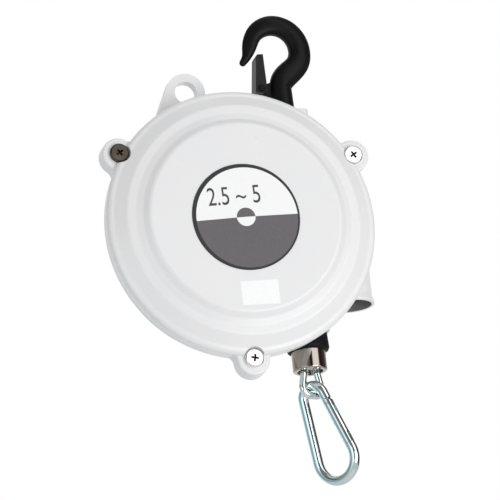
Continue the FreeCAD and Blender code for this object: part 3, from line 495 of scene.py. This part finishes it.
def meshPiece(name, shape, body, *materials):
    bmesh.ops.recalc_face_normals(shape, faces=shape.faces)
    mesh = bpy.data.meshes.new(name)
    shape.to_mesh(mesh)
    shape.free()
    for material in materials:
        mesh.materials.append(material)
    piece = bpy.data.objects.new(name, mesh)
    bpy.context.scene.collection.objects.link(piece)
    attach(piece, body)
    return piece


def applyTree(name, tree, sockets, start=None):
    holder = bpy.data.objects.new("holder", start or bpy.data.meshes.new("holder"))
    bpy.context.scene.collection.objects.link(holder)
    modifier = holder.modifiers.new("nodes", "NODES")
    modifier.node_group = tree
    for identifier, value in sockets.values():
        modifier[identifier] = value
    bpy.context.view_layer.update()
    mesh = bpy.data.meshes.new_from_object(holder.evaluated_get(bpy.context.evaluated_depsgraph_get()))
    bpy.data.objects.remove(holder)
    mesh.name = name
    piece = bpy.data.objects.new(name, mesh)
    bpy.context.scene.collection.objects.link(piece)
    return piece


def makeDial(materials):
    shape = bmesh.new()
    radius, top, edge = dial["radius"], dial["thickness"], dial["edgeRound"]
    # the black border ring runs off-centre and is wider on the left, where part of its black is painted
    # shadow
    rings = [(dial["hubRadius"], top, (0, 0)), (dial["printRadius"], top, dial["printAndShadowShift"]),
             (radius - edge, top, (0, 0)), (radius, top - edge, (0, 0)), (radius, 0, (0, 0))]
    angles = [dial["tilt"] + math.tau * step / dial["steps"] for step in range(dial["steps"])]
    loops = [[shape.verts.new(onFace(r * math.cos(a) + shift[0], height, r * math.sin(a) + shift[1]))
              for a in angles] for r, height, shift in rings]
    hub = shape.verts.new(onFace(0, top, 0))
    back = shape.verts.new(onFace(0, 0, 0))
    for step in range(dial["steps"]):
        after = (step + 1) % dial["steps"]
        upper = step < dial["steps"] // 2
        shape.faces.new((hub, loops[0][step], loops[0][after])).material_index = 1 if upper else 0
        shape.faces.new((back, loops[-1][after], loops[-1][step])).material_index = 2
        for ring, (inner, outer) in enumerate(zip(loops, loops[1:])):
            face = shape.faces.new((inner[step], outer[step], outer[after], inner[after]))
            face.material_index = (0 if upper else 1) if ring == 0 else 2
    piece = meshPiece("dialDisc", shape, "housing", *materials)
    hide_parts("dial_plate")


def makeNumbers(ink):
    data = bpy.data.curves.new("dialNumbers", "FONT")
    data.body = dial["numbers"]
    data.extrude = dial["inkThick"]  # tells front from back, and the loop below sets both heights
    letters = bpy.data.objects.new("lettersOutline", data)
    bpy.context.scene.collection.objects.link(letters)
    bpy.context.view_layer.update()
    mesh = bpy.data.meshes.new_from_object(letters.evaluated_get(bpy.context.evaluated_depsgraph_get()))
    bpy.data.objects.remove(letters)
    xs = [v.co.x for v in mesh.vertices]
    ys = [v.co.y for v in mesh.vertices]
    wide, high = dial["numbersWide"] / (max(xs) - min(xs)), dial["numbersHigh"] / (max(ys) - min(ys))
    left, low = dial["numbersAt"]
    turnX, turnZ = math.cos(dial["tilt"]), math.sin(dial["tilt"])
    for v in mesh.vertices:
        x, z = (v.co.x - min(xs)) * wide, (v.co.y - min(ys)) * high
        height = dial["thickness"] + (dial["inkThick"] if v.co.z > 0 else -dial["inkThick"])
        v.co = onFace(left + x * turnX - z * turnZ, height, low + x * turnZ + z * turnX)
    shape = bmesh.new()
    shape.from_mesh(mesh)
    bmesh.ops.remove_doubles(shape, verts=shape.verts, dist=dial["weld"])
    piece = meshPiece("dialNumbers", shape, "housing", ink)


def makeSticker(film):
    shape = bmesh.new()
    width, height = sticker["size"]
    r, steps = sticker["cornerRound"], sticker["cornerSteps"]
    outline = []
    for corner, (sx, sz) in enumerate(((1, 1), (-1, 1), (-1, -1), (1, -1))):
        for step in range(steps + 1):
            a = math.pi / 2 * (corner + step / steps)
            outline.append((sx * (width / 2 - r) + r * math.cos(a), sz * (height / 2 - r) + r * math.sin(a)))
    turnX, turnZ = math.cos(sticker["tilt"]), math.sin(sticker["tilt"])
    points = [(sticker["at"][0] + x * turnX - z * turnZ, sticker["at"][1] + x * turnZ + z * turnX)
              for x, z in outline]
    front = [shape.verts.new(onFace(x, sticker["thickness"], z)) for x, z in points]
    back = [shape.verts.new(onFace(x, 0, z)) for x, z in points]
    shape.faces.new(front)
    shape.faces.new(back[::-1])
    for here in range(len(points)):
        after = (here + 1) % len(points)
        shape.faces.new((front[here], back[here], back[after], front[after]))
    meshPiece("faceSticker", shape, "housing", film)


whitePrint = printedFilm("whiteScreenPrint", "F6F6F5", "FCFCFB", 0.3)
greyPrint = printedFilm("darkGreyScreenPrint", "5A5659", "686467", 0.32)
blackPrint = printedFilm("blackScreenPrint", "141414", "1D1C1D", 0.3)
makeDial((whitePrint, greyPrint, blackPrint))
makeNumbers(printedFilm("numeralInk", "343234", "3F3D3F", 0.35))
makeSticker(printedFilm("blankPolyesterLabel", "FAFAFA", "FFFFFF", 0.28))
print("dial and sticker made")


screws = {
    "circle": mm(76.1),
    "bright": (28.9, 269.8),        # where they stand, in degrees round the cover
    "black": (146.6,),
    "seatBack": mm(13.4),           # the heads seat this far behind the face
    "headRadius": mm(5.2),
    "headHigh": mm(2.6),
    "headFlat": mm(4.5),
    "shankRadius": mm(2.4),
    "shankLength": mm(10.2),
    "cross": mm(2.1),
    "crossWide": mm(0.55),
    "crossDeep": mm(1.7),
    "taper": 0.6,
    "crown": (0.95, 0.88),          # the head's rounded edge, as shares of its radius and height
    "brim": 0.7,                    # the head's straight side ends at this share of its height
    "mostTurn": math.radians(80),   # each screw stops somewhere below this turn
    "seed": 4,
    "steps": 48,
}


def screwBlank():
    # a pan head round a tapered cross, on a plain shank; its seat is at the origin and it faces -Y
    shape = bmesh.new()
    top, wide, long = screws["headHigh"], screws["crossWide"], screws["cross"]
    arms = [(wide, wide), (wide, long), (-wide, long), (-wide, wide), (-long, wide), (-long, -wide),
            (-wide, -wide), (-wide, -long), (wide, -long), (wide, -wide), (long, -wide), (long, wide)]
    crownWide, crownHigh = screws["crown"]
    profile = [(screws["headFlat"], top), (screws["headRadius"] * crownWide, top * crownHigh),
               (screws["headRadius"], top * screws["brim"]), (screws["headRadius"], 0),
               (screws["shankRadius"], 0),
               (screws["shankRadius"], -screws["shankLength"])]
    angles = [math.tau * step / screws["steps"] for step in range(screws["steps"])]
    loops = [[shape.verts.new((r * math.cos(a), -height, r * math.sin(a))) for a in angles]
             for r, height in profile]
    mouth = [shape.verts.new((x, -top, z)) for x, z in arms]
    pit = [shape.verts.new((x * screws["taper"], screws["crossDeep"] - top, z * screws["taper"]))
           for x, z in arms]
    for inner, outer in zip(loops, loops[1:]):
        for here in range(len(inner)):
            after = (here + 1) % len(inner)
            shape.faces.new((inner[here], outer[here], outer[after], inner[after]))
    shape.faces.new(loops[-1])
    recess = [shape.faces.new(pit)]
    for here in range(len(arms)):
        after = (here + 1) % len(arms)
        recess.append(shape.faces.new((mouth[here], pit[here], pit[after], mouth[after])))
    for face in recess:
        face.material_index = 1
    rim = [edge for edge in shape.edges if len(edge.link_faces) == 1]
    bmesh.ops.triangle_fill(shape, edges=rim, use_beauty=True)
    bmesh.ops.recalc_face_normals(shape, faces=shape.faces)
    mesh = bpy.data.meshes.new("screwBlank")
    shape.to_mesh(mesh)
    shape.free()
    marks = mesh.attributes.new("recess", "BOOLEAN", "FACE")
    for face in mesh.polygons:
        marks.data[face.index].value = face.material_index == 1
        face.material_index = 0
    blank = bpy.data.objects.new("screwBlank", mesh)
    bpy.context.scene.collection.objects.link(blank)
    return blank


def screwTree(blank, finish, recess):
    tree = bpy.data.node_groups.new("screwsInPlace", "GeometryNodeTree")
    tree.interface.new_socket("Geometry", in_out="INPUT", socket_type="NodeSocketGeometry")
    turn = tree.interface.new_socket("mostTurn", in_out="INPUT", socket_type="NodeSocketFloat").identifier
    tree.interface.new_socket("Geometry", in_out="OUTPUT", socket_type="NodeSocketGeometry")
    given = addNode(tree, "NodeGroupInput").outputs
    screw = addNode(tree, "GeometryNodeObjectInfo", {"Object": blank})
    left = addNode(tree, "FunctionNodeRandomValue", {"Seed": screws["seed"]}, data_type="FLOAT")
    tree.links.new(given["mostTurn"], left.inputs[3])
    angle = addNode(tree, "ShaderNodeCombineXYZ", {"Y": left.outputs[1]})
    placed = addNode(tree, "GeometryNodeInstanceOnPoints", {
        "Points": given["Geometry"], "Instance": screw.outputs["Geometry"], "Rotation": angle.outputs[0]})
    real = addNode(tree, "GeometryNodeRealizeInstances", {0: placed.outputs[0]})
    worn = addNode(tree, "GeometryNodeSetMaterial", {"Geometry": real.outputs[0], "Material": finish})
    marked = addNode(tree, "GeometryNodeInputNamedAttribute", {"Name": "recess"}, data_type="BOOLEAN")
    # the cross recess faces get the painted shade material
    sunk = addNode(tree, "GeometryNodeSetMaterial", {
        "Geometry": worn.outputs[0], "Selection": marked.outputs["Attribute"], "Material": recess})
    addNode(tree, "NodeGroupOutput", {0: sunk.outputs[0]})
    return tree, {"mostTurn": (turn, screws["mostTurn"])}


def makeScrews(name, node, places, finish, recess):
    seats = [middle + Vector((screws["circle"] * math.cos(math.radians(a)), 0,
                              screws["circle"] * math.sin(math.radians(a)))) for a in places]
    points = bpy.data.meshes.new("seats")
    points.from_pydata([(seat.x, middle.y + screws["seatBack"], seat.z) for seat in seats], [], [])
    blank = screwBlank()
    piece = applyTree(name, *screwTree(blank, finish, recess), points)
    bpy.data.objects.remove(blank)
    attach(piece, "housing")
    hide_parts(node)


# painted shade in the screws' cross recesses: dark brown metal, dull
crossRecessShade = metal("paintedCrossShade", "4A3A34", "241A18",
                   roughness=0.5, grainSize=mm(0.6), grainDepth=mm(0.01))
makeScrews("brightScrews", "cover_screws", screws["bright"], brightScrew, crossRecessShade)
makeScrews("blackScrewHead", "cover_screw_black", screws["black"], blackScrew, crossRecessShade)
print("screws in")


rope = {
    "x": mm(2.2),              # the load line, from the hook seat's axis
    "top": mm(-113.7),
    "bottom": mm(-186.4),
    "strandRadius": mm(0.5),
    "layRadius": mm(1.0),
    "strands": 6,
    "turns": 18,
    "stepsPerTurn": 14,
    "coreSteps": 120,
    "strandSides": 8,
    "stretchFrom": mm(-125.0),  # the rope pays out between these two heights
    "stretchTo": mm(-178.0),
}


def ropeTree(material):
    tree = bpy.data.node_groups.new("laidRope", "GeometryNodeTree")
    sockets = {}
    for name, kind, value in (("strands", "NodeSocketInt", rope["strands"]),
                              ("layRadius", "NodeSocketFloat", rope["layRadius"]),
                              ("strandRadius", "NodeSocketFloat", rope["strandRadius"]),
                              ("turns", "NodeSocketFloat", rope["turns"]),
                              ("length", "NodeSocketFloat", rope["top"] - rope["bottom"])):
        sockets[name] = (tree.interface.new_socket(name, in_out="INPUT", socket_type=kind).identifier, value)
    tree.interface.new_socket("Geometry", in_out="OUTPUT", socket_type="NodeSocketGeometry")
    given = addNode(tree, "NodeGroupInput").outputs
    helix = addNode(tree, "GeometryNodeCurveSpiral", {
        "Resolution": rope["stepsPerTurn"], "Rotations": given["turns"], "Start Radius": given["layRadius"],
        "End Radius": given["layRadius"], "Height": given["length"]})
    around = addNode(tree, "GeometryNodePoints", {"Count": given["strands"]})
    index = addNode(tree, "GeometryNodeInputIndex")
    share = addNode(tree, "ShaderNodeMath", {0: index.outputs[0], 1: given["strands"]}, operation="DIVIDE")
    angle = addNode(tree, "ShaderNodeMath", {0: share.outputs[0], 1: math.tau}, operation="MULTIPLY")
    turned = addNode(tree, "ShaderNodeCombineXYZ", {"Z": angle.outputs[0]})
    laid = addNode(tree, "GeometryNodeInstanceOnPoints", {
        "Points": around.outputs[0], "Instance": helix.outputs[0], "Rotation": turned.outputs[0]})
    end = addNode(tree, "ShaderNodeCombineXYZ", {"Z": given["length"]})
    core = addNode(tree, "GeometryNodeCurvePrimitiveLine", {"End": end.outputs[0]})
    cut = addNode(tree, "GeometryNodeResampleCurve", {"Curve": core.outputs[0], "Count": rope["coreSteps"]})
    lines = addNode(tree, "GeometryNodeJoinGeometry")
    tree.links.new(laid.outputs[0], lines.inputs[0])
    tree.links.new(cut.outputs[0], lines.inputs[0])
    profile = addNode(tree, "GeometryNodeCurvePrimitiveCircle", {
        "Resolution": rope["strandSides"], "Radius": given["strandRadius"]})
    real = addNode(tree, "GeometryNodeRealizeInstances", {0: lines.outputs[0]})
    tubes = addNode(tree, "GeometryNodeCurveToMesh", {
        "Curve": real.outputs[0], "Profile Curve": profile.outputs[0], "Fill Caps": True})
    smooth = addNode(tree, "GeometryNodeSetShadeSmooth", {0: tubes.outputs[0]})
    painted = addNode(tree, "GeometryNodeSetMaterial", {"Geometry": smooth.outputs[0], "Material": material})
    addNode(tree, "NodeGroupOutput", {0: painted.outputs[0]})
    return tree, sockets


def makeRope(material):
    piece = applyTree("laidRope", *ropeTree(material))
    for v in piece.data.vertices:
        v.co += Vector((rope["x"], 0, rope["bottom"]))
    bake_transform(piece)
    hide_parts("rope_line")


makeRope(ropeWire)
print("rope laid")
